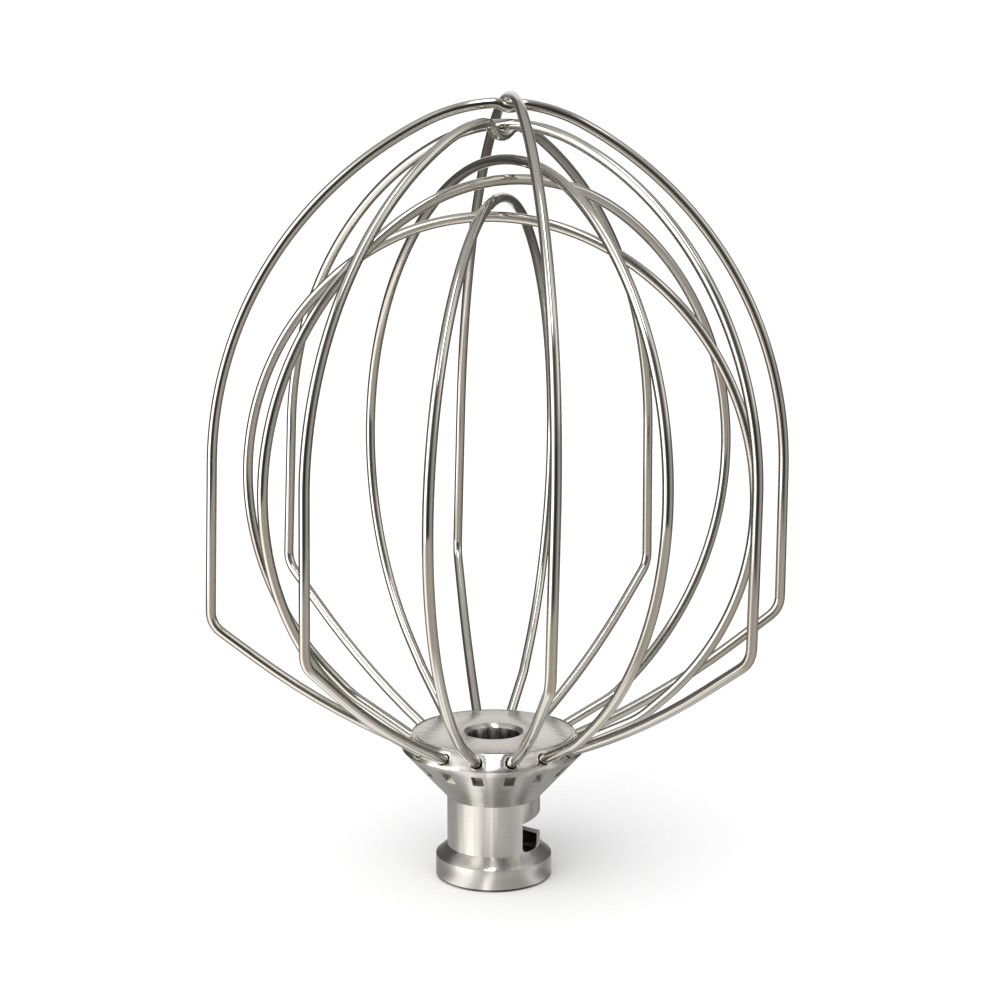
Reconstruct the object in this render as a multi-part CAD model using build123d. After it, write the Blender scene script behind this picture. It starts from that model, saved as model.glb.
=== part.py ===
from build123d import *
from collections import namedtuple
from math import cos, radians, sin, sqrt, tan
import os

# Wire whisk of a stand mixer: eight steel wire loops staked into the rim of a turned steel hub.
# Lengths are millimetres and angles degrees. The hub stands on its collar at the origin and +Z runs
# up the drive axis. Headings go round that axis from the front, which is -Y, towards +X.

# Drive shaft and cross pin that the hub slides over
shaft_diameter = 12.7
shaft_clearance = 0.15
pin_diameter = 4.2
pin_reach = 11.8
pin_clearance = 0.2

# Turned outline of the hub, from the collar up
collar_diameter = 28.8
collar_height = 5.5
collar_edge = 0.4
collar_bevel_height = 2.4
neck_diameter = 23.1
neck_height = 12.6
cone_height = 12.2
rim_diameter = 45.4
bevel_height = 3.8
face_diameter = 40.4
face_groove_width = 0.9
face_groove_depth = 0.25
bore_chamfer = 1.0

# Bayonet slot through the neck: pocket for the pin, tongue beside it and a roof that rises to the entry
slot_heading = 52.5
slot_roof_rise = 7.6
slot_roof_slope = 7.0
pocket_width = 5.9
pocket_depth = 7.4
pocket_corner = 1.5
tongue_width = 3.3
tongue_corner = 1.0

# Wire, its holes in the rim bevel and the staking pits under them
loop_count = 8
wire_diameter = 2.5
wire_clearance = 0.25
hole_depth = 7.0
hole_end_gap = 0.2
pit_width = 2.8
pit_length = 4.0
pit_depth = 1.0
pit_taper = 30.0
pit_rim_land = 2.4

# Half outline of an outer loop: bowed spoke to a corner, straight side, shoulder arc and crown arc. The
# spoke sets out for a point this far below the straight way to the corner, at this share of that way
outer_bow_depth = 3.4
outer_bow_share = 0.38
outer_corner_reach = 69.2
outer_corner_rise = 32.8
outer_bend_radius = 6.0
outer_side_angle = 1.2
outer_side_length = 37.2
outer_crown_share = 0.177

# Half outline of an inner loop, which leaves its spoke in a gentle bend
inner_corner_reach = 34.0
inner_corner_rise = 8.7
inner_bend_radius = 22.0
inner_side_angle = -46.2
inner_side_length = 8.0
inner_crown_share = 0.154

# Top of the uppermost loop while it stands upright, and the stack of the loops where they cross
whisk_height = 191.45
crossing_gap = 0.15
forward_lean = 3.0

# One row for each loop from the top one down: first hole, gap to the wire above it, depth and half width of
# the dip that takes it under that wire, turn and sideways lean of its plane, and how far its corners are
# out of true: both outward and up, and the first one up its side while the second goes as far down
Loop = namedtuple("Loop", "name hole gap dip dip_width turn lean reach rise skew")
loops = [
    Loop("outer_loop_1", 0, 0.0, 0.0, 0.0, -2.4, 1.4, 1.8, 0.2, 2.1),
    Loop("outer_loop_2", 4, crossing_gap, 1.1, 3.6, -10.6, 1.0, 0.3, -1.4, 3.0),
    Loop("outer_loop_3", 2, 1.2, 0.0, 0.0, -5.0, 1.6, 2.4, 0.9, 1.0),
    Loop("outer_loop_4", 6, crossing_gap, 3.1, 6.8, -6.5, 0.2, -5.2, 0.4, -0.1),
    Loop("inner_loop_1", 1, 2.9, 0.0, 0.0, -0.4, 1.6, 0.6, 0.3, 0.0),
    Loop("inner_loop_2", 5, 1.9, 0.0, 0.0, -6.3, 3.2, 0.4, -0.8, 0.0),
    Loop("inner_loop_3", 7, 1.9, 0.0, 0.0, -3.2, 0.8, -2.4, -0.2, -0.9),
    Loop("inner_loop_4", 3, 1.9, 0.0, 0.0, -3.5, -0.2, 2.8, -0.3, -0.4),
]

# Radii and heights that follow from the sizes above
bore_radius = shaft_diameter / 2 + shaft_clearance
collar_radius = collar_diameter / 2
neck_radius = neck_diameter / 2
rim_radius = rim_diameter / 2
face_radius = face_diameter / 2
wire_radius = wire_diameter / 2
neck_foot = collar_height + collar_bevel_height
cone_foot = neck_foot + neck_height
rim_level = cone_foot + cone_height
face_level = rim_level + bevel_height
mouth_radius = (rim_radius + face_radius) / 2
mouth_level = (rim_level + face_level) / 2
crown_rise = whisk_height - mouth_level - wire_radius
hole_pitch = 180 / loop_count
first_hole_heading = hole_pitch / 2
pin_slot_width = pin_diameter + 2 * pin_clearance


def outward(heading):
    """Level unit vector at a heading."""
    return Vector(sin(radians(heading)), -cos(radians(heading)), 0)


def hole_heading(hole):
    """Heading of a wire hole, counted round the rim."""
    return first_hole_heading + hole * hole_pitch


def hub_blank():
    """The hub as it leaves the lathe, with its bore."""
    outline = Polyline(
        (bore_radius + bore_chamfer, 0),
        (collar_radius - collar_edge, 0),
        (collar_radius, collar_edge),
        (collar_radius, collar_height),
        (neck_radius, neck_foot),
        (neck_radius, cone_foot),
        (rim_radius, rim_level),
        (face_radius, face_level),
        (face_radius, face_level - face_groove_depth),
        (face_radius - face_groove_width, face_level - face_groove_depth),
        (face_radius - face_groove_width, face_level),
        (bore_radius + bore_chamfer, face_level),
        (bore_radius, face_level - bore_chamfer),
        (bore_radius, bore_chamfer),
        close=True,
    )
    return revolve(Plane.XZ * make_face(outline), Axis.Z)


def bayonet_slot():
    """Slot milled square to its heading, and the keyway that leads the pin up to it through the collar."""
    tongue_start = pocket_width / 2
    tongue_end = tongue_start + tongue_width
    far_side = collar_radius
    roof = neck_foot + slot_roof_rise
    slope = tan(radians(slot_roof_slope))
    roof_over_tongue = roof + pocket_width * slope
    roof_far = roof + (far_side + tongue_start) * slope
    tongue_top = roof_over_tongue - pin_slot_width
    floor = roof - pocket_depth
    pocket = make_face(Polyline(
        (-tongue_start, floor),
        (tongue_start, floor),
        (tongue_start, roof_over_tongue),
        (-tongue_start, roof),
        close=True,
    ))
    pocket = fillet(pocket.vertices().group_by(Axis.Y)[0], pocket_corner)
    channel = make_face(Polyline(
        (-tongue_start, tongue_top),
        (far_side, tongue_top),
        (far_side, roof_far),
        (-tongue_start, roof),
        close=True,
    ))
    entry = make_face(Polyline(
        (tongue_end, neck_foot),
        (far_side, neck_foot),
        (far_side, roof_far),
        (tongue_end, tongue_top),
        close=True,
    ))
    opening = pocket + channel + entry
    tip = opening.vertices().sort_by_distance(Vector(tongue_end, tongue_top))[0]
    opening = fillet(tip, tongue_corner)
    across = Plane(
        origin=outward(slot_heading) * (-pin_slot_width / 2),
        x_dir=outward(slot_heading + 90),
        z_dir=outward(slot_heading),
    )
    slot = extrude(across * opening, amount=collar_radius + pin_slot_width)
    keyway_reach = pin_reach + pin_clearance
    keyway_plan = Plane(origin=(0, 0, 0), x_dir=outward(slot_heading + 90), z_dir=(0, 0, 1))
    keyway_section = Pos(keyway_reach / 2, 0) * Rectangle(keyway_reach, pin_slot_width)
    keyway = extrude(keyway_plan * keyway_section, amount=neck_foot)
    return slot + keyway


def staking_pit(heading):
    """Tapered square pit on the cone, punched towards the wire in the hole above it."""
    slant = Vector(rim_radius - neck_radius, 0, cone_height).normalized()
    drop = pit_rim_land + pit_length / 2
    middle = outward(heading) * (rim_radius - drop * slant.X) + Vector(0, 0, rim_level - drop * slant.Z)
    facing = outward(heading) * slant.Z - Vector(0, 0, slant.X)
    mark = Plane(origin=middle, x_dir=outward(heading + 90), z_dir=facing) * Rectangle(pit_width, pit_length)
    return extrude(mark, amount=-pit_depth, taper=pit_taper)


class Outline:
    """Half outline of one loop as radius and rise, in the plane of the loop above the hole mouths."""

    def __init__(self, loop, low_rise):
        outer = loop.name.startswith("outer")
        reach = outer_corner_reach if outer else inner_corner_reach
        rise = outer_corner_rise if outer else inner_corner_rise
        angle = radians(outer_side_angle if outer else inner_side_angle)
        length = outer_side_length if outer else inner_side_length
        share = outer_crown_share if outer else inner_crown_share
        self.bow_depth = outer_bow_depth if outer else 0
        self.bend_radius = outer_bend_radius if outer else inner_bend_radius
        self.corner = Vector(reach + loop.reach, rise + loop.rise)
        self.side = Vector(-sin(angle), cos(angle))
        self.side_top = self.corner + self.side * length
        apex = Vector(0, low_rise + loop.dip)
        self.joint = self.crown_joint(apex, share)
        drop = apex.Y - self.joint.Y
        self.crown_radius = (self.joint.X**2 + drop**2) / (2 * drop)
        self.crown_centre = apex.Y - self.crown_radius
        self.crown_points = [Vector(0, low_rise)]
        if loop.dip:
            self.crown_points = self.dip_route(loop.dip_width, low_rise) + self.crown_points

    def crown_joint(self, apex, share):
        """Where the shoulder arc meets the crown arc, with their tangents in the ratio 1 to share."""
        chord = self.side_top - apex
        spread = self.side - Vector(share, 0)
        weight = 2 * share * (1 + self.side.X)
        along = chord.dot(spread)
        tangent = (along + sqrt(along**2 + weight * chord.dot(chord))) / weight
        shoulder = self.side_top + self.side * tangent
        crown = apex + Vector(share * tangent, 0)
        return shoulder + (crown - shoulder) * (1 / (1 + share))

    def dip_route(self, half_width, low_rise):
        """End of the crown arc, and the point between the two equal arcs that dip to the low point."""
        rising = half_width / self.crown_radius
        level = sqrt(1 - rising**2)
        start = self.crown_centre + self.crown_radius * level
        depth = start - low_rise
        span = half_width**2 + depth**2
        along = half_width * rising + depth * (1 + level)
        radius = span / (along + sqrt(along**2 + 2 * (1 - level) * span))
        falling = (half_width / radius - rising) / 2
        between = Vector(radius * falling, low_rise + radius * (1 - sqrt(1 - falling**2)))
        return [Vector(half_width, start), between]

    def crown_route(self, offset):
        """Points from the shoulder to the low point, carried along the crown towards this half."""
        swing = offset / self.crown_radius
        points = [self.joint]
        for point in self.crown_points:
            height = point.Y - self.crown_centre
            radius = point.X * cos(swing) + height * sin(swing)
            points.append(Vector(radius, self.crown_centre + height * cos(swing) - point.X * sin(swing)))
        return points


def plane_heading(loop):
    """Heading of the plane of a loop, towards its first hole."""
    return hole_heading(loop.hole) + loop.turn


def crossing_offset(loop, above, rise):
    """How far from its own middle, towards its first hole, a loop passes under the loop above."""
    shift = rise * (tan(radians(above.lean)) - tan(radians(loop.lean)))
    across = outward(plane_heading(above) + 90)
    return shift * across.X / outward(plane_heading(loop)).dot(across)


def half_loop(loop, outline, offset, half):
    """Edges of the first half of a loop, 1, or the second, -1, and its hole: from the end of the wire
    in the hole to the low point of the crown."""
    stand = Plane(origin=(0, 0, mouth_level)).rotated((forward_lean, loop.lean, 0))
    heading = outward(plane_heading(loop)) * half

    def place(point):
        return stand.from_local_coords(heading * point.X + Vector(0, 0, point.Y))

    mouth = outward(hole_heading(loop.hole)) * (half * mouth_radius) + Vector(0, 0, mouth_level)
    corner = place(outline.corner + outline.side * (half * loop.skew))
    side_top = place(outline.side_top)
    way = corner - mouth
    below = way.cross(stand.z_dir.cross(way)).normalized() * -outline.bow_depth
    bow = mouth + way * outer_bow_share + below
    leaving = (bow - mouth).normalized()
    spoke = (corner - bow).normalized()
    side = (side_top - corner).normalized()
    setback = outline.bend_radius * tan(radians(spoke.get_angle(side)) / 2)
    bend_start = corner - spoke * setback
    bend_end = corner + side * setback
    straight_start = mouth - leaving * (hole_depth - hole_end_gap)
    edges = []
    if outline.bow_depth:
        edges.append(Line(straight_start, mouth))
        straight_start = bow + spoke * (bow - mouth).length
        edges.append(TangentArc(mouth, straight_start, tangent=leaving))
    edges.append(Line(straight_start, bend_start))
    edges.append(TangentArc(bend_start, bend_end, tangent=spoke))
    edges.append(Line(bend_end, side_top))
    for point in outline.crown_route(half * offset):
        edges.append(TangentArc(edges[-1] @ 1, place(point), tangent=edges[-1] % 1))
    drill = Cylinder(wire_radius + wire_clearance, 2 * hole_depth)
    return edges, Plane(origin=mouth, z_dir=leaving) * drill


def wire_loop(loop, above, low_rise):
    """One bent wire, and the two holes it needs in the hub."""
    outline = Outline(loop, low_rise)
    offset = crossing_offset(loop, above, low_rise) if loop.dip else 0
    first, first_hole = half_loop(loop, outline, offset, 1)
    second, second_hole = half_loop(loop, outline, offset, -1)
    section = Plane(origin=first[0] @ 0, z_dir=first[0] % 0) * Circle(wire_radius)
    wire = sweep(section, path=Wire(first + second[::-1]))
    return wire, [first_hole, second_hole]


os.makedirs("parts", exist_ok=True)
hub = hub_blank() - bayonet_slot()
hub -= [staking_pit(hole_heading(hole)) for hole in range(2 * loop_count)]
above = None
low_rise = crown_rise + wire_diameter
for loop in loops:
    low_rise -= wire_diameter + loop.gap
    wire, holes = wire_loop(loop, above, low_rise)
    hub -= holes
    export_step(wire, f"parts/{loop.name}.step")
    above = loop
export_step(hub, "parts/hub.step")
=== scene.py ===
from collections import namedtuple
from math import cos, pi, radians, sin, sqrt, tan

import bmesh
import bpy
from mathutils import Matrix, Vector


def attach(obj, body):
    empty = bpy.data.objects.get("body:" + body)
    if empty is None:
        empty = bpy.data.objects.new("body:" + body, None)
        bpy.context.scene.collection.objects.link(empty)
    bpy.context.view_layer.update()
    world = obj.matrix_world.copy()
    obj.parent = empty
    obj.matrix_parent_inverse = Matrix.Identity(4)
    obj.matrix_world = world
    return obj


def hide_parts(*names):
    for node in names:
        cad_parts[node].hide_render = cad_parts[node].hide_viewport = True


bl_info = {
    "name": "Stand mixer wire whisk",
    "version": (1, 0, 0),
    "blender": (4, 5, 0),
    "location": "View3D > Sidebar > Whisk",
    "description": "Bright wire loops, a turned steel hub and a white studio for a stand mixer whisk",
    "category": "Object",
}

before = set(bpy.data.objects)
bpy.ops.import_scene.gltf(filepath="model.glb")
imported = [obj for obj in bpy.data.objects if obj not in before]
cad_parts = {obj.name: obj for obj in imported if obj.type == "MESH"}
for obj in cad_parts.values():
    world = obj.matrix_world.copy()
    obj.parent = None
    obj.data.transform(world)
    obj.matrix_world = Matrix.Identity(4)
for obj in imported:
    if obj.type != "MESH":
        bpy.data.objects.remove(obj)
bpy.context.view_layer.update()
MM = 0.001

# Hole mouths in the rim bevel, as the hub was drilled
MOUTH_RADIUS = 21.45 * MM
MOUTH_LEVEL = 34.6 * MM
HOLE_PITCH = radians(22.5)
FIRST_HOLE_HEADING = HOLE_PITCH / 2
WIRE_SEAT = 6.8 * MM
FORWARD_LEAN = radians(3.0)

# Where the finishes of the hub meet: the skin of the neck and of the cone up to the rim, the slot and the
# staking pits cut through that skin, the bore and the broken edge of the foot. The same limits place painted
# shade: darkest in the slot, less in the pits and the bore, and a painted contact shadow line along the foot
NECK_RADIUS = 11.55 * MM
NECK_TOP = 20.5 * MM
RIM_RADIUS = 22.7 * MM
RIM_LEVEL = 32.7 * MM
SKIN_DEPTH = 0.06 * MM
SLOT_TOP = 20.0 * MM
PITS_START = 23.0 * MM
PITS_END = 32.6 * MM
BORE_REACH = 6.55 * MM
FOOT_EDGE = 0.62 * MM

# Half outlines of the two families of loops: how far the spoke sags, corner, bend, straight side and share
# of the crown arc
Family = namedtuple("Family", "bow reach rise bend side_angle side_length crown_share")
OUTER = Family(3.4 * MM, 69.2 * MM, 32.8 * MM, 6.0 * MM, radians(1.2), 37.2 * MM, 0.177)
INNER = Family(0.0, 34.0 * MM, 8.7 * MM, 22.0 * MM, radians(-46.2), 8.0 * MM, 0.154)
BOW_SHARE = 0.38
CROWN_RISE = 155.6 * MM
CROSS_GAP = 0.15 * MM

# One row for each loop from the top one down: CAD node, family, first hole, gap to the wire above it,
# depth and half width of its dip, turn and sideways lean of its plane in degrees, and how far its corners
# are out of true: both outward and up, and the first one up its side while the second goes as far down
Loop = namedtuple("Loop", "node family hole gap dip dip_width turn lean reach rise skew")
LOOPS = [
    Loop("outer_loop_1", OUTER, 0, 0.0, 0.0, 0.0, -2.4, 1.4, 1.8 * MM, 0.2 * MM, 2.1 * MM),
    Loop("outer_loop_2", OUTER, 4, CROSS_GAP, 1.1 * MM, 3.6 * MM, -10.6, 1.0, 0.3 * MM, -1.4 * MM, 3.0 * MM),
    Loop("outer_loop_3", OUTER, 2, 1.2 * MM, 0.0, 0.0, -5.0, 1.6, 2.4 * MM, 0.9 * MM, 1.0 * MM),
    Loop("outer_loop_4", OUTER, 6, CROSS_GAP, 3.1 * MM, 6.8 * MM, -6.5, 0.2, -5.2 * MM, 0.4 * MM, -0.1 * MM),
    Loop("inner_loop_1", INNER, 1, 2.9 * MM, 0.0, 0.0, -0.4, 1.6, 0.6 * MM, 0.3 * MM, 0.0),
    Loop("inner_loop_2", INNER, 5, 1.9 * MM, 0.0, 0.0, -6.3, 3.2, 0.4 * MM, -0.8 * MM, 0.0),
    Loop("inner_loop_3", INNER, 7, 1.9 * MM, 0.0, 0.0, -3.2, 0.8, -2.4 * MM, -0.2 * MM, -0.9 * MM),
    Loop("inner_loop_4", INNER, 3, 1.9 * MM, 0.0, 0.0, -3.5, -0.2, 2.8 * MM, -0.3 * MM, -0.4 * MM),
]


def linear(colour):
    """Linear RGBA of an sRGB hex colour."""
    channels = [int(colour[i:i + 2], 16) / 255 for i in (1, 3, 5)]
    return [c / 12.92 if c <= 0.04045 else ((c + 0.055) / 1.055) ** 2.4 for c in channels] + [1.0]


class WhiskSizes(bpy.types.PropertyGroup):
    """Sizes and colours of the whisk that a user would change."""

    wire_diameter: bpy.props.FloatProperty(
        name="Wire diameter", description="Thickness of the drawn wire", default=2.5 * MM, unit="LENGTH")
    wire_sides: bpy.props.IntProperty(
        name="Wire sides", description="Faces round the wire", default=32, min=8, max=64)
    wire_step: bpy.props.FloatProperty(
        name="Wire step", description="Distance between rings along the wire",
        default=1.2 * MM, unit="LENGTH")
    edge_break: bpy.props.FloatProperty(
        name="Edge break", description="Width of the softened edges of the hub",
        default=0.12 * MM, unit="LENGTH")
    hub_colour: bpy.props.FloatVectorProperty(
        name="Hub steel", description="Colour of the turned hub", subtype="COLOR", size=4,
        default=linear("#D0CECA"), min=0, max=1)
    wire_colour: bpy.props.FloatVectorProperty(
        name="Wire steel", description="Colour of the drawn wire", subtype="COLOR", size=4,
        default=linear("#CFCCC5"), min=0, max=1)


class StageSizes(bpy.types.PropertyGroup):
    """Camera and studio that a user would change."""

    camera_place: bpy.props.FloatVectorProperty(
        name="Camera place", description="Where the camera stands", subtype="XYZ", unit="LENGTH",
        default=(0.0, -0.440, 0.162))
    camera_pitch: bpy.props.FloatProperty(
        name="Camera pitch", description="How far the camera looks down",
        default=radians(8.736), subtype="ANGLE")
    camera_yaw: bpy.props.FloatProperty(
        name="Camera yaw", description="How far the camera turns right",
        default=radians(0.205), subtype="ANGLE")
    camera_lens: bpy.props.FloatProperty(
        name="Camera lens", description="Focal length on a 36 mm sensor", default=65.95, unit="CAMERA")
    table_radius: bpy.props.FloatProperty(
        name="Table radius", description="Radius of the floor that the steel mirrors",
        default=0.36, unit="LENGTH")
    floor_radius: bpy.props.FloatProperty(
        name="Floor radius", description="Radius of the whole white floor", default=3.0, unit="LENGTH")
    front_light: bpy.props.FloatProperty(
        name="Front light", description="Strength of the light from above the camera", default=1.5, min=0)


def add_node(tree, kind, settings=None, values=None, links=None):
    """A new node in a tree, with its settings, its input values and what feeds its inputs."""
    node = tree.nodes.new(kind)
    for name, value in (settings or {}).items():
        setattr(node, name, value)
    for name, value in (values or {}).items():
        node.inputs[name].default_value = value
    for name, source in (links or {}).items():
        tree.links.new(source, node.inputs[name])
    return node


def new_material(name):
    """An empty material and its node tree."""
    material = bpy.data.materials.new(name)
    material.use_nodes = True
    material.node_tree.nodes.clear()
    return material, material.node_tree


def below(tree, value, limit):
    """1 where a value is less than a limit, and 0 elsewhere."""
    return add_node(tree, "ShaderNodeMath", {"operation": "LESS_THAN"}, {1: limit}, {0: value}).outputs[0]


def ranged(tree, value, low, high):
    """A value from 0 to 1, spread out to run from low to high."""
    return add_node(tree, "ShaderNodeMapRange", values={"To Min": low, "To Max": high},
                    links={"Value": value}).outputs[0]


def blend(tree, share, first, second):
    """Goes from one output to another as a share goes from 0 to 1."""
    return add_node(tree, "ShaderNodeMix", {"data_type": "FLOAT"},
                    links={"Factor": share, 2: first, 3: second}).outputs[0]


def blend_to(tree, share, first, value):
    """Goes from an output to a fixed value as a share goes from 0 to 1."""
    return add_node(tree, "ShaderNodeMix", {"data_type": "FLOAT"}, {3: value},
                    {"Factor": share, 2: first}).outputs[0]


def turned_stainless(colour):
    """Stainless steel as it leaves the lathe: fine rings round the axis draw highlights out into streaks. The
    slot, the staking pits and the foot's edge, which no fine cut has gone over, are dull, and the bore is
    smooth. All four are darkened too by painted shade: darkest in the slot, less in the pits and the bore,
    and a painted contact shadow line along the foot's edge."""
    material, tree = new_material("turned_stainless_steel")
    ring_spacing = 0.35 * MM  # real turning marks are finer; this is as fine as the picture can show
    patch_size = 9 * MM
    place = add_node(tree, "ShaderNodeTexCoord").outputs["Object"]
    parts = add_node(tree, "ShaderNodeSeparateXYZ", links={0: place}).outputs
    flat = add_node(tree, "ShaderNodeCombineXYZ", links={"X": parts["X"], "Y": parts["Y"]})
    radius = add_node(tree, "ShaderNodeVectorMath", {"operation": "LENGTH"},
                      links={0: flat.outputs[0]}).outputs["Value"]
    along = add_node(tree, "ShaderNodeMath", {"operation": "ADD"}, links={0: radius, 1: parts["Z"]})
    rings = add_node(tree, "ShaderNodeTexNoise", {"noise_dimensions": "1D"},
                     {"Scale": 1 / ring_spacing, "Detail": 2.0}, {"W": along.outputs[0]}).outputs["Fac"]
    patches = add_node(tree, "ShaderNodeTexNoise", values={"Scale": 1 / patch_size, "Detail": 3.0},
                       links={"Vector": place}).outputs["Fac"]
    skin = add_node(
        tree, "ShaderNodeMapRange", links={"Value": parts["Z"]},
        values={"From Min": NECK_TOP, "From Max": RIM_LEVEL,
                "To Min": NECK_RADIUS - SKIN_DEPTH, "To Max": RIM_RADIUS - SKIN_DEPTH})
    under_skin = add_node(tree, "ShaderNodeMath", {"operation": "LESS_THAN"},
                          links={0: radius, 1: skin.outputs[0]})
    under_rim = below(tree, parts["Z"], PITS_END)
    in_bore = below(tree, radius, BORE_REACH)
    # The foot's edge is rougher and also carries a painted contact shadow line, darkened to 0.12 below
    at_foot = below(tree, parts["Z"], FOOT_EDGE)
    milled_and_shaded = add_node(tree, "ShaderNodeMath", {"operation": "MULTIPLY_ADD", "use_clamp": True},
                      links={0: under_skin.outputs[0], 1: under_rim, 2: at_foot}).outputs[0]
    outer_rough = blend_to(tree, milled_and_shaded, ranged(tree, rings, 0.22, 0.30), 0.34)
    rough = blend_to(tree, in_bore, outer_rough, 0.13)
    # Painted shade in the recesses: the slot darkened to 0.14, grading to 0.40 in the staking pits
    painted_recess_shade = add_node(
        tree, "ShaderNodeMapRange", links={"Value": parts["Z"]},
        values={"From Min": SLOT_TOP, "From Max": PITS_START, "To Min": 0.14, "To Max": 0.40})
    outer_shade = blend(tree, milled_and_shaded, ranged(tree, patches, 0.95, 1.05), painted_recess_shade.outputs[0])
    # Painted shade: the bore dimmed to 0.55 and the foot's edge to 0.12, a painted contact shadow line
    shade = blend_to(tree, at_foot, blend_to(tree, in_bore, outer_shade, 0.55), 0.12)
    tint = add_node(tree, "ShaderNodeHueSaturation", values={"Color": colour}, links={"Value": shade})
    relief = add_node(tree, "ShaderNodeBump", values={"Strength": 0.06, "Distance": 0.02 * MM},
                      links={"Height": rings})
    around = add_node(tree, "ShaderNodeTangent", {"direction_type": "RADIAL", "axis": "Z"})
    steel = add_node(
        tree, "ShaderNodeBsdfPrincipled",
        values={"Metallic": 1.0, "Anisotropic": 0.7, "Anisotropic Rotation": 0.25},
        links={"Base Color": tint.outputs[0], "Roughness": rough, "Normal": relief.outputs[0],
               "Tangent": around.outputs[0]})
    add_node(tree, "ShaderNodeOutputMaterial", links={"Surface": steel.outputs[0]})
    return material


def drawn_stainless(colour):
    """Stainless wire pulled through a die: nearly a mirror, with faint scores along its length."""
    material, tree = new_material("drawn_stainless_wire")
    score_length = 14 * MM
    scores_round = 26.0
    uv = add_node(tree, "ShaderNodeUVMap", {"uv_map": "UVMap"})
    stretch = add_node(tree, "ShaderNodeMapping", values={"Scale": (1 / score_length, scores_round, 1.0)},
                       links={"Vector": uv.outputs[0]})
    scores = add_node(tree, "ShaderNodeTexNoise", values={"Scale": 1.0, "Detail": 3.0},
                      links={"Vector": stretch.outputs[0]}).outputs["Fac"]
    tint = add_node(tree, "ShaderNodeHueSaturation", values={"Color": colour},
                    links={"Value": ranged(tree, scores, 0.92, 1.05)})
    relief = add_node(tree, "ShaderNodeBump", values={"Strength": 0.03, "Distance": 0.02 * MM},
                      links={"Height": scores})
    steel = add_node(
        tree, "ShaderNodeBsdfPrincipled", values={"Metallic": 1.0},
        links={"Base Color": tint.outputs[0], "Roughness": ranged(tree, scores, 0.07, 0.12),
               "Normal": relief.outputs[0]})
    add_node(tree, "ShaderNodeOutputMaterial", links={"Surface": steel.outputs[0]})
    return material


def outward(heading):
    """Level unit vector at a heading, counted from the front, -Y, towards +X."""
    return Vector((sin(heading), -cos(heading), 0.0))


def hole_heading(hole):
    """Heading of a wire hole, counted round the rim."""
    return FIRST_HOLE_HEADING + hole * HOLE_PITCH


def plane_heading(loop):
    """Heading of the plane of a loop, towards its first hole."""
    return hole_heading(loop.hole) + radians(loop.turn)


def arc(start, tangent, end, step=radians(2.0)):
    """Points of the arc that leaves start along tangent and reaches end, and its direction there."""
    chord = end - start
    sideways = (chord - tangent * chord.dot(tangent)).normalized()
    turn = 2 * tangent.angle(chord)
    radius = chord.length / (2 * sin(turn / 2))
    count = max(2, round(turn / step))
    points = []
    for i in range(1, count + 1):
        angle = turn * i / count
        points.append(start + (tangent * sin(angle) + sideways * (1 - cos(angle))) * radius)
    return points, tangent * cos(turn) + sideways * sin(turn)


class Outline:
    """Half outline of one loop as radius and rise, in the plane of the loop above the hole mouths."""

    def __init__(self, loop, low_rise):
        family = loop.family
        self.bow = family.bow
        self.bend = family.bend
        self.corner = Vector((family.reach + loop.reach, family.rise + loop.rise))
        self.side = Vector((-sin(family.side_angle), cos(family.side_angle)))
        self.side_top = self.corner + self.side * family.side_length
        apex = Vector((0.0, low_rise + loop.dip))
        self.joint = self.crown_joint(apex, family.crown_share)
        drop = apex.y - self.joint.y
        self.crown_radius = (self.joint.x ** 2 + drop ** 2) / (2 * drop)
        self.crown_centre = apex.y - self.crown_radius
        self.crown_points = [Vector((0.0, low_rise))]
        if loop.dip:
            self.crown_points = self.dip_route(loop.dip_width, low_rise) + self.crown_points

    def crown_joint(self, apex, share):
        """Where the shoulder arc meets the crown arc, with their tangents in the ratio 1 to share."""
        chord = self.side_top - apex
        spread = self.side - Vector((share, 0.0))
        weight = 2 * share * (1 + self.side.x)
        along = chord.dot(spread)
        tangent = (along + sqrt(along ** 2 + weight * chord.dot(chord))) / weight
        shoulder = self.side_top + self.side * tangent
        crown = apex + Vector((share * tangent, 0.0))
        return shoulder + (crown - shoulder) / (1 + share)

    def dip_route(self, half_width, low_rise):
        """End of the crown arc, and the point between the two equal arcs that dip to the low point."""
        rising = half_width / self.crown_radius
        level = sqrt(1 - rising ** 2)
        start = self.crown_centre + self.crown_radius * level
        depth = start - low_rise
        span = half_width ** 2 + depth ** 2
        along = half_width * rising + depth * (1 + level)
        radius = span / (along + sqrt(along ** 2 + 2 * (1 - level) * span))
        falling = (half_width / radius - rising) / 2
        between = Vector((radius * falling, low_rise + radius * (1 - sqrt(1 - falling ** 2))))
        return [Vector((half_width, start)), between]

    def crown_route(self, offset):
        """Points from the shoulder to the low point, carried along the crown towards this half."""
        swing = offset / self.crown_radius
        points = [self.joint]
        for point in self.crown_points:
            height = point.y - self.crown_centre
            radius = point.x * cos(swing) + height * sin(swing)
            points.append(Vector((radius, self.crown_centre + height * cos(swing) - point.x * sin(swing))))
        return points


def crossing_offset(loop, above, rise):
    """How far from its own middle, towards its first hole, a loop passes under the loop above."""
    shift = rise * (tan(radians(above.lean)) - tan(radians(loop.lean)))
    across = outward(plane_heading(above) + pi / 2)
    return shift * across.x / outward(plane_heading(loop)).dot(across)


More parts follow.
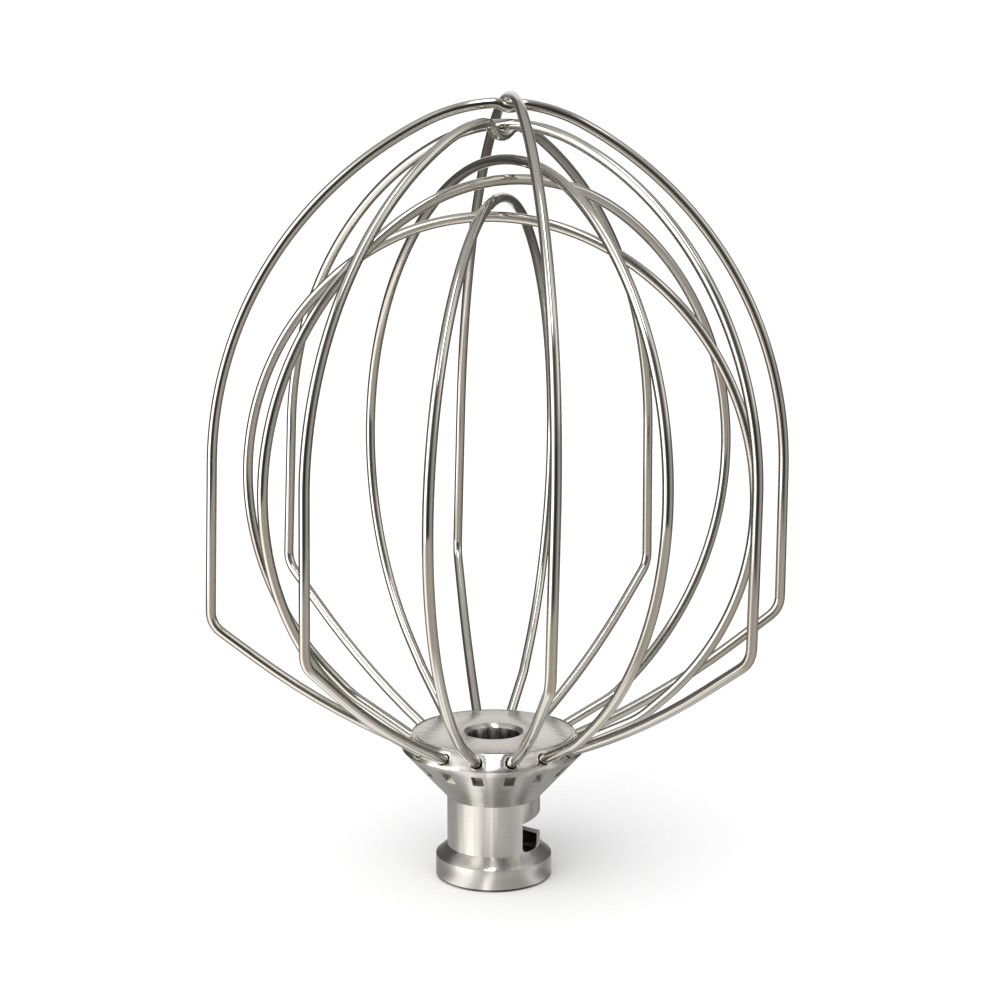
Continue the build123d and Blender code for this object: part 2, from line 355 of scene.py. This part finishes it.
def half_path(loop, outline, offset, half):
    """Points of the first half of a loop, 1, or the second, -1: from the end of the wire in its hole
    to the low point of the crown."""
    lean = Matrix.Rotation(FORWARD_LEAN, 4, "X") @ Matrix.Rotation(radians(loop.lean), 4, "Y")
    stand = Matrix.Translation((0.0, 0.0, MOUTH_LEVEL)) @ lean
    heading = outward(plane_heading(loop)) * half

    def place(point):
        return stand @ (heading * point.x + Vector((0.0, 0.0, point.y)))

    mouth = outward(hole_heading(loop.hole)) * (half * MOUTH_RADIUS) + Vector((0.0, 0.0, MOUTH_LEVEL))
    corner = place(outline.corner + outline.side * (half * loop.skew))
    side_top = place(outline.side_top)
    way = corner - mouth
    up = stand.to_3x3() @ Vector((0.0, 0.0, 1.0))
    bow = mouth + way * BOW_SHARE - way.cross(up.cross(way)).normalized() * outline.bow
    leaving = (bow - mouth).normalized()
    spoke = (corner - bow).normalized()
    side = (side_top - corner).normalized()
    points = [mouth - leaving * WIRE_SEAT, mouth]
    if outline.bow:
        points += arc(mouth, leaving, bow + spoke * (bow - mouth).length)[0]
    setback = outline.bend * tan(spoke.angle(side) / 2)
    bend_start = corner - spoke * setback
    bend, tangent = arc(bend_start, spoke, corner + side * setback)
    points += [bend_start, *bend, side_top]
    for point in outline.crown_route(half * offset):
        stretch, tangent = arc(points[-1], tangent, place(point))
        points += stretch
    return points


def loop_path(loop, above, low_rise):
    """Points of a whole loop, from one hole over the crown to the opposite hole."""
    outline = Outline(loop, low_rise)
    offset = crossing_offset(loop, above, low_rise) if loop.dip else 0.0
    return half_path(loop, outline, offset, 1) + half_path(loop, outline, offset, -1)[-2::-1]


def wire_tree():
    """Geometry Nodes that draw a round wire along a path and lay a UV map on it."""
    tree = bpy.data.node_groups.new("wire_along_path", "GeometryNodeTree")
    tree.interface.new_socket("Path", in_out="INPUT", socket_type="NodeSocketGeometry")
    tree.interface.new_socket("Radius", in_out="INPUT", socket_type="NodeSocketFloat")
    tree.interface.new_socket("Sides", in_out="INPUT", socket_type="NodeSocketInt")
    tree.interface.new_socket("Step", in_out="INPUT", socket_type="NodeSocketFloat")
    tree.interface.new_socket("Material", in_out="INPUT", socket_type="NodeSocketMaterial")
    tree.interface.new_socket("Wire", in_out="OUTPUT", socket_type="NodeSocketGeometry")
    given = add_node(tree, "NodeGroupInput").outputs
    rings = add_node(tree, "GeometryNodeResampleCurve", {"mode": "LENGTH"},
                     links={"Curve": given["Path"], "Length": given["Step"]})
    parameter = add_node(tree, "GeometryNodeSplineParameter")
    lengthwise = add_node(tree, "GeometryNodeCaptureAttribute", {"domain": "POINT"},
                          links={"Geometry": rings.outputs["Curve"]})
    lengthwise.capture_items.new("FLOAT", "Along")
    tree.links.new(parameter.outputs["Length"], lengthwise.inputs["Along"])
    circle = add_node(tree, "GeometryNodeCurvePrimitiveCircle",
                      links={"Resolution": given["Sides"], "Radius": given["Radius"]})
    round_it = add_node(tree, "GeometryNodeCaptureAttribute", {"domain": "POINT"},
                        links={"Geometry": circle.outputs["Curve"]})
    round_it.capture_items.new("FLOAT", "Around")
    tree.links.new(parameter.outputs["Factor"], round_it.inputs["Around"])
    tube = add_node(tree, "GeometryNodeCurveToMesh", values={"Fill Caps": True},
                    links={"Curve": lengthwise.outputs["Geometry"],
                           "Profile Curve": round_it.outputs["Geometry"]})
    uv = add_node(tree, "ShaderNodeCombineXYZ",
                  links={"X": lengthwise.outputs["Along"], "Y": round_it.outputs["Around"]})
    mapped = add_node(tree, "GeometryNodeStoreNamedAttribute", {"data_type": "FLOAT2", "domain": "CORNER"},
                      {"Name": "UVMap"}, {"Geometry": tube.outputs["Mesh"], "Value": uv.outputs[0]})
    smooth = add_node(tree, "GeometryNodeSetShadeSmooth", links={"Geometry": mapped.outputs[0]})
    real = add_node(tree, "GeometryNodeRealizeInstances", links={"Geometry": smooth.outputs[0]})
    dressed = add_node(tree, "GeometryNodeSetMaterial",
                       links={"Geometry": real.outputs[0], "Material": given["Material"]})
    add_node(tree, "NodeGroupOutput", links={"Wire": dressed.outputs[0]})
    return tree


def plain_mesh(source, name):
    """A new object at the origin that holds the evaluated mesh of another, which is then removed."""
    graph = bpy.context.evaluated_depsgraph_get()
    mesh = bpy.data.meshes.new_from_object(source.evaluated_get(graph))
    mesh.name = name
    piece = bpy.data.objects.new(name, mesh)
    bpy.context.scene.collection.objects.link(piece)
    bpy.data.objects.remove(source)
    return piece


def bend_wire(loop, points, tree, sizes, steel):
    """One wire loop as a mesh of its own."""
    curve = bpy.data.curves.new(loop.node + "_path", "CURVE")
    curve.dimensions = "3D"
    spline = curve.splines.new("POLY")
    spline.points.add(len(points) - 1)
    for slot, point in zip(spline.points, points):
        slot.co = (*point, 1.0)
    path = bpy.data.objects.new(loop.node + "_path", curve)
    bpy.context.scene.collection.objects.link(path)
    drawing = path.modifiers.new("wire", "NODES")
    drawing.node_group = tree
    given = {item.name: item.identifier for item in tree.interface.items_tree if item.in_out == "INPUT"}
    drawing[given["Radius"]] = sizes.wire_diameter / 2
    drawing[given["Sides"]] = sizes.wire_sides
    drawing[given["Step"]] = sizes.wire_step
    drawing[given["Material"]] = steel
    wire = plain_mesh(path, "wire_" + loop.node)
    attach(wire, "root")
    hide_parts(loop.node)
    return wire


class WHISK_OT_bend_wires(bpy.types.Operator):
    """Bend the outer and inner wire loops and set them in their holes"""

    bl_idname = "whisk.bend_wires"
    bl_label = "Bend the wires"

    def execute(self, context):
        sizes = context.scene.whisk_sizes
        steel = drawn_stainless(sizes.wire_colour)
        tree = wire_tree()
        above = None
        low_rise = CROWN_RISE + sizes.wire_diameter
        for loop in LOOPS:
            low_rise -= sizes.wire_diameter + loop.gap
            bend_wire(loop, loop_path(loop, above, low_rise), tree, sizes, steel)
            above = loop
        return {"FINISHED"}


class WHISK_OT_turn_hub(bpy.types.Operator):
    """Finish the turned hub: softened edges and a satin steel surface"""

    bl_idname = "whisk.turn_hub"
    bl_label = "Finish the hub"

    def execute(self, context):
        sizes = context.scene.whisk_sizes
        blank = bmesh.new()
        blank.from_mesh(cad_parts["hub"].data)
        bmesh.ops.remove_doubles(blank, verts=blank.verts, dist=0.001 * MM)
        mesh = bpy.data.meshes.new("hub_blank")
        blank.to_mesh(mesh)
        blank.free()
        mesh.materials.clear()
        mesh.materials.append(turned_stainless(sizes.hub_colour))
        mesh.polygons.foreach_set("material_index", [0] * len(mesh.polygons))
        mesh.polygons.foreach_set("use_smooth", [True] * len(mesh.polygons))
        rough_part = bpy.data.objects.new("hub_blank", mesh)
        context.scene.collection.objects.link(rough_part)
        edges = rough_part.modifiers.new("edge_break", "BEVEL")
        edges.width = sizes.edge_break
        edges.segments = 2
        edges.limit_method = "ANGLE"
        edges.angle_limit = radians(24)
        edges.harden_normals = True
        hub = plain_mesh(rough_part, "turned_hub")
        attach(hub, "root")
        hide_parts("hub")
        return {"FINISHED"}


# Brightness of what the steel mirrors, in stops of degrees and brightness. LEVEL is the room level with the
# whisk and LAMPS is higher up, where the lamps hang, both by heading from the camera's side to the right.
# OVERHEAD goes by the sideways angle from straight up. Straight up and behind it gives way to CANOPY, by the
# angle from straight up towards the camera. The table goes by heading too: at the foot, near the hub and
# farther out. It is a painted table, a glow on the floor that only the steel sees, with a painted sheen of
# the lamps on it and mostly dimmer at the foot, as painted shade by the hub
BRIGHTEST = 6.0
LEVEL = [
    (-180, 0.9), (-170, 0.9), (-161, 0.10), (-120, 0.07), (-95, 0.10), (-86, 0.3), (-77, 3.0), (-45, 3.0),
    (-38, 0.8), (-28, 0.20), (-13, 0.05), (0, 0.03), (14, 0.04), (26, 0.16), (45, 0.40), (70, 0.52),
    (82, 0.46), (96, 0.14), (125, 0.07), (161, 0.10), (170, 0.9), (180, 0.9),
]
LAMPS = [
    (-180, 0.95), (-166, 0.95), (-156, 0.12), (-120, 0.10), (-96, 0.25), (-88, 0.8), (-79, 2.8),
    (-46, 2.8), (-37, 1.2), (-26, 0.30), (-14, 0.12), (0, 0.07), (14, 0.08), (26, 0.20), (48, 0.46),
    (66, 1.1), (82, 1.35), (96, 0.50), (112, 0.30), (135, 0.16), (156, 0.12), (166, 0.95), (180, 0.95),
]
OVERHEAD = [
    (-180, 0.12), (-70, 0.15), (-58, 0.50), (-47, 0.90), (-41, 0.60), (-35, 0.65), (-27, 0.95),
    (-22, 0.80), (-16, 0.40), (-11, 0.6), (-8, 6.0), (3, 6.0), (6.5, 0.5), (14, 0.26), (20, 0.18),
    (27, 0.30), (31, 0.8), (35, 2.0), (39, 1.0), (45, 0.50), (56, 0.42), (72, 0.30), (180, 0.12),
]
CANOPY = [(-180, 0.12), (-75, 0.12), (-58, 0.40), (-20, 0.50), (-4, 0.60), (30, 0.55), (180, 0.5)]
FOOT_TABLE = [
    (-180, 0.45), (-95, 0.34), (-72, 0.36), (-65, 0.50), (-59, 0.70), (-54, 1.0), (-48, 1.3), (-35, 1.4),
    (-30, 1.15), (-25, 0.90), (-18, 0.75), (-13, 0.95), (-10, 1.6), (-6, 1.5), (-1, 0.75), (4, 0.58),
    (16, 0.46), (33, 0.41), (43, 0.54), (52, 0.85), (58, 0.65), (66, 0.42), (76, 0.22), (88, 0.30),
    (98, 0.44), (180, 0.45),
]
NEAR_TABLE = [
    (-180, 0.25), (-152, 0.25), (-140, 0.46), (-100, 0.52), (-84, 0.85), (-70, 1.2), (-62, 1.4),
    (-45, 1.5), (-37, 1.2), (-29, 1.0), (-20, 0.95), (-14, 1.15), (-9, 1.5), (-3, 1.6), (1, 1.2),
    (6, 0.90), (16, 0.76), (28, 0.65), (40, 0.59), (55, 0.70), (72, 0.92), (82, 0.66), (95, 0.34),
    (108, 0.36), (122, 0.45), (140, 0.40), (152, 0.25), (180, 0.25),
]
FAR_TABLE = [
    (-180, 0.12), (-152, 0.12), (-122, 0.22), (-98, 0.32), (-84, 0.60), (-74, 1.7), (-47, 1.7),
    (-36, 0.70), (-22, 0.50), (10, 0.50), (36, 0.60), (62, 0.52), (84, 0.36), (118, 0.22), (152, 0.12),
    (180, 0.12),
]

# Where one of them goes over into the next: elevations, angles towards the camera and distances from the axis
LEVEL_TO_LAMPS = (4, 14)
LAMPS_TO_OVERHEAD = (36, 44)
CANOPY_TO_OVERHEAD = (2, 14)
FOOT_TO_NEAR = (24 * MM, 38 * MM)
NEAR_TO_FAR = (60 * MM, 100 * MM)


def negated(tree, value):
    """A value with its sign changed."""
    return add_node(tree, "ShaderNodeMath", {"operation": "MULTIPLY"}, {1: -1.0}, {0: value}).outputs[0]


def angle_between(tree, across, ahead):
    """Angle in radians from straight ahead, out of the parts of a direction across and ahead."""
    return add_node(tree, "ShaderNodeMath", {"operation": "ARCTAN2"}, links={0: across, 1: ahead}).outputs[0]


def share_between(tree, value, limits):
    """How far a value is on its way from one limit to another, smoothly from 0 to 1."""
    return add_node(tree, "ShaderNodeMapRange", {"interpolation_type": "SMOOTHSTEP"},
                    {"From Min": limits[0], "From Max": limits[1]}, {"Value": value}).outputs[0]


def brightness_by_angle(tree, angle, stops):
    """Colour ramp that turns an angle in radians into a brightness."""
    share = add_node(tree, "ShaderNodeMapRange", values={"From Min": -pi, "From Max": pi},
                     links={"Value": angle})
    ramp = add_node(tree, "ShaderNodeValToRGB", links={"Fac": share.outputs[0]})
    points = ramp.color_ramp.elements
    while len(points) < len(stops):
        points.new(1.0)
    for point, (degrees_round, brightness) in zip(points, stops):
        point.position = degrees_round / 360 + 0.5
        level = brightness / BRIGHTEST
        point.color = (level, level, level, 1.0)
    return add_node(tree, "ShaderNodeMath", {"operation": "MULTIPLY"}, {1: BRIGHTEST},
                    {0: ramp.outputs["Color"]}).outputs[0]


def studio_light():
    """World of a white studio: a broad soft lamp left, a narrow one over the camera and a weak one right."""
    world = bpy.data.worlds.new("studio")
    bpy.context.scene.world = world
    world.use_nodes = True
    tree = world.node_tree
    tree.nodes.clear()
    way = add_node(tree, "ShaderNodeTexCoord").outputs["Generated"]
    parts = add_node(tree, "ShaderNodeSeparateXYZ", links={0: way}).outputs
    heading = angle_between(tree, parts["X"], negated(tree, parts["Y"]))
    sideways = angle_between(tree, parts["X"], parts["Z"])
    forward = negated(tree, angle_between(tree, parts["Y"], parts["Z"]))
    in_front = share_between(tree, forward, [radians(angle) for angle in CANOPY_TO_OVERHEAD])
    among_lamps = share_between(tree, parts["Z"], [sin(radians(angle)) for angle in LEVEL_TO_LAMPS])
    over_lamps = share_between(tree, parts["Z"], [sin(radians(angle)) for angle in LAMPS_TO_OVERHEAD])
    level = brightness_by_angle(tree, heading, LEVEL)
    lamps = brightness_by_angle(tree, heading, LAMPS)
    canopy = brightness_by_angle(tree, forward, CANOPY)
    overhead = brightness_by_angle(tree, sideways, OVERHEAD)
    lower = blend(tree, among_lamps, level, lamps)
    upper = blend(tree, in_front, canopy, overhead)
    studio = add_node(tree, "ShaderNodeBackground", values={"Color": linear("#FFFDFA")},
                      links={"Strength": blend(tree, over_lamps, lower, upper)})
    seen = add_node(tree, "ShaderNodeLightPath")
    white = add_node(tree, "ShaderNodeBackground", values={"Color": linear("#FFFFFF")},
                     links={"Strength": ranged(tree, seen.outputs["Is Camera Ray"], 0.85, 1.1)})
    mixed = add_node(tree, "ShaderNodeMixShader",
                     links={"Fac": seen.outputs["Is Glossy Ray"], 1: white.outputs[0], 2: studio.outputs[0]})
    add_node(tree, "ShaderNodeOutputWorld", links={"Surface": mixed.outputs[0]})


def white_card():
    """Matt white card for the studio floor: a sheenless white that only takes shadow. In the steel it shows
    instead as a painted table: a glow that only reflections see, with a painted sheen of the lamps on it and
    mostly dimmer at the foot, as painted shade by the hub."""
    material, tree = new_material("white_studio_card")
    fibre_size = 2 * MM
    place = add_node(tree, "ShaderNodeTexCoord").outputs["Object"]
    fibres = add_node(tree, "ShaderNodeTexNoise", values={"Scale": 1 / fibre_size, "Detail": 2.0},
                      links={"Vector": place})
    card = add_node(tree, "ShaderNodeBsdfDiffuse",
                    links={"Color": ranged(tree, fibres.outputs["Fac"], 0.93, 0.95)})
    parts = add_node(tree, "ShaderNodeSeparateXYZ", links={0: place}).outputs
    reach = add_node(tree, "ShaderNodeVectorMath", {"operation": "LENGTH"}, links={0: place}).outputs["Value"]
    heading = angle_between(tree, parts["X"], negated(tree, parts["Y"]))
    foot = brightness_by_angle(tree, heading, FOOT_TABLE)
    near = brightness_by_angle(tree, heading, NEAR_TABLE)
    far = brightness_by_angle(tree, heading, FAR_TABLE)
    by_the_hub = blend(tree, share_between(tree, reach, FOOT_TO_NEAR), foot, near)
    away = share_between(tree, reach, NEAR_TO_FAR)
    warmth = add_node(tree, "ShaderNodeMix", {"data_type": "RGBA"},
                      {6: linear("#FFFDFA"), 7: linear("#FFF7EE")}, {"Factor": away})
    # Painted reflection: for glossy rays the floor glows as a table with a painted sheen of the lamps
    painted_table_glow = add_node(tree, "ShaderNodeEmission",
                     links={"Color": warmth.outputs[2], "Strength": blend(tree, away, by_the_hub, far)})
    seen = add_node(tree, "ShaderNodeLightPath")
    mixed = add_node(tree, "ShaderNodeMixShader",
                     links={"Fac": seen.outputs["Is Glossy Ray"], 1: card.outputs[0], 2: painted_table_glow.outputs[0]})
    add_node(tree, "ShaderNodeOutputMaterial", links={"Surface": mixed.outputs[0]})
    return material


def lay_floor(name, inner_radius, outer_radius, card):
    """A level ring or disc of the studio floor."""
    shape = bmesh.new()
    count = 96
    rims = []
    for radius in (inner_radius, outer_radius):
        if radius:
            turns = [2 * pi * i / count for i in range(count)]
            rims.append([shape.verts.new(outward(turn) * radius) for turn in turns])
    if len(rims) == 1:
        shape.faces.new(rims[0])
    else:
        for i in range(count):
            after = (i + 1) % count
            shape.faces.new((rims[0][i], rims[1][i], rims[1][after], rims[0][after]))
    mesh = bpy.data.meshes.new(name)
    shape.to_mesh(mesh)
    shape.free()
    mesh.materials.append(card)
    floor = bpy.data.objects.new(name, mesh)
    bpy.context.scene.collection.objects.link(floor)
    return floor


def hang_front_light(strength):
    """A broad soft light from above the camera that lays the hub's shadow behind it, on the floor alone."""
    lamp = bpy.data.lights.new("front_light", "SUN")
    lamp.energy = strength
    lamp.angle = radians(60)
    hung = bpy.data.objects.new("front_light", lamp)
    hung.rotation_euler = (radians(41), 0.0, radians(-24))
    hung.visible_glossy = False
    bpy.context.scene.collection.objects.link(hung)


class WHISK_OT_set_stage(bpy.types.Operator):
    """Lay the white floor, light the studio and stand the camera in front of the whisk"""

    bl_idname = "whisk.set_stage"
    bl_label = "Set the stage"

    def execute(self, context):
        stage = context.scene.whisk_stage
        card = white_card()
        lay_floor("floor", 0.0, stage.table_radius, card)
        surround = lay_floor("surround", stage.table_radius, stage.floor_radius, card)
        surround.visible_glossy = False
        hang_front_light(stage.front_light)
        studio_light()
        lens = bpy.data.cameras.new("camera")
        lens.lens = stage.camera_lens
        lens.sensor_width = 36.0
        lens.clip_start = 0.01
        camera = bpy.data.objects.new("camera", lens)
        camera.location = stage.camera_place
        camera.rotation_euler = (pi / 2 - stage.camera_pitch, 0.0, -stage.camera_yaw)
        context.scene.collection.objects.link(camera)
        context.scene.camera = camera
        context.scene.view_settings.view_transform = "Standard"
        return {"FINISHED"}


class WHISK_PT_sidebar(bpy.types.Panel):
    """Sidebar panel of the whisk"""

    bl_idname = "WHISK_PT_sidebar"
    bl_label = "Wire whisk"
    bl_space_type = "VIEW_3D"
    bl_region_type = "UI"
    bl_category = "Whisk"

    def draw(self, context):
        layout = self.layout
        for group in (context.scene.whisk_sizes, context.scene.whisk_stage):
            for name in group.bl_rna.properties.keys():
                if name not in {"rna_type", "name"}:
                    layout.prop(group, name)
        for operator in (WHISK_OT_bend_wires, WHISK_OT_turn_hub, WHISK_OT_set_stage):
            layout.operator(operator.bl_idname)


CLASSES = (
    WhiskSizes, StageSizes, WHISK_OT_bend_wires, WHISK_OT_turn_hub, WHISK_OT_set_stage, WHISK_PT_sidebar,
)


def register():
    for cls in CLASSES:
        bpy.utils.register_class(cls)
    bpy.types.Scene.whisk_sizes = bpy.props.PointerProperty(type=WhiskSizes)
    bpy.types.Scene.whisk_stage = bpy.props.PointerProperty(type=StageSizes)


def unregister():
    del bpy.types.Scene.whisk_stage
    del bpy.types.Scene.whisk_sizes
    for cls in reversed(CLASSES):
        bpy.utils.unregister_class(cls)


def main():
    register()
    bpy.ops.whisk.bend_wires()
    bpy.ops.whisk.turn_hub()
    bpy.ops.whisk.set_stage()


if __name__ == "__main__":
    main()
